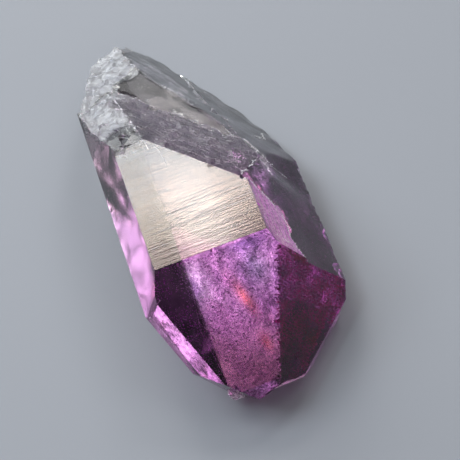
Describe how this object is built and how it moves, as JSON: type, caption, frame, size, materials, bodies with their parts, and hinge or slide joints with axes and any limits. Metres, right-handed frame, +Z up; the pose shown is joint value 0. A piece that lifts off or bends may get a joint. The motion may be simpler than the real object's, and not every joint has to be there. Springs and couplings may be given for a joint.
{
  "type": "purple aura quartz point",
  "caption": "Natural clear-to-purple quartz crystal point lying on a prism face, with a pointed faceted tip and a frosty, slanting broken root.",
  "frame": {"origin": "middle of the bottom of the bounding box, on the surface that the crystal lies on", "axes": "-Y towards the pointed end, +Y towards the broken root, +Z up from the prism face that it rests on"},
  "size_m": [0.0176, 0.05, 0.0118],
  "materials": {
    "quartz": "glossy growth faces, frosted broken root"
  },
  "bodies": {
    "root": {"quartz_point": "quartz"}
  },
  "joints": []
}
